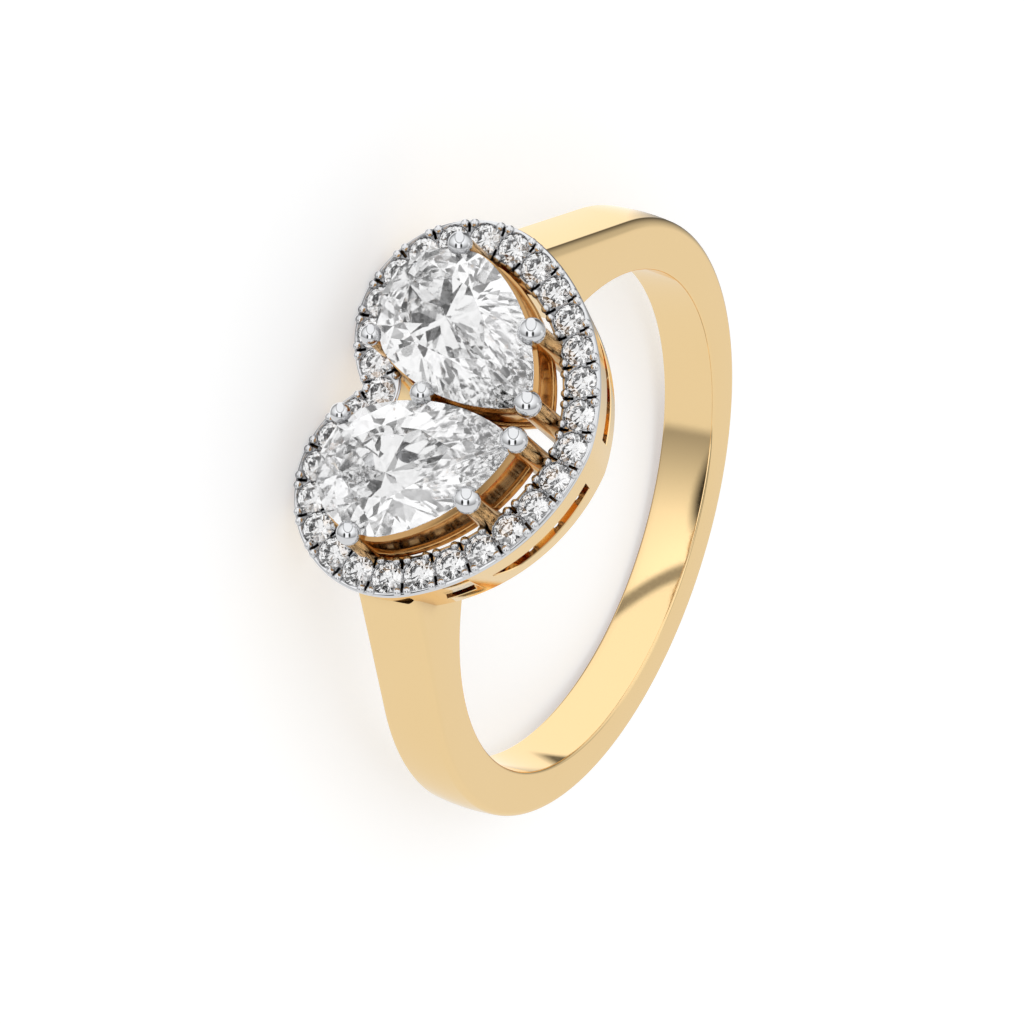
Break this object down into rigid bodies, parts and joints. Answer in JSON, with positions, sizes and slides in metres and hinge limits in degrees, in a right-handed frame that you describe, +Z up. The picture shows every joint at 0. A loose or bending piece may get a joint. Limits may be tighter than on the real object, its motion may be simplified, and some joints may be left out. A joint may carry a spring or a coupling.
{
  "type": "halo ring",
  "caption": "Halo ring: a pair of pear-cut stones side by side in a lobed halo of small round stones, over a pierced gallery and a plain tapering hoop.",
  "frame": {"origin": "middle of the ring's box, on the plane that the ring lies on", "axes": "+Z up; the ring lies on its side with its stones towards -Y; X runs across the ring; the finger's direction leans 8.5 degrees from +Z towards +Y"},
  "size_m": [0.0208, 0.0238, 0.0096],
  "materials": {
    "yellow_gold": "polished",
    "white_metal": "polished",
    "diamond": "clear, flat polished facets"
  },
  "bodies": {
    "root": {"gold_mount": "yellow_gold", "halo_plate": "white_metal", "halo_stones": "diamond", "pear_stone_left": "diamond", "pear_stone_right": "diamond", "prong_tip_1": "white_metal", "prong_tip_2": "white_metal", "prong_tip_3": "white_metal", "prong_tip_4": "white_metal", "prong_tip_5": "white_metal", "prong_tip_6": "white_metal", "prong_tip_7": "white_metal", "prong_tip_8": "white_metal", "prong_tip_9": "white_metal"}
  },
  "joints": []
}
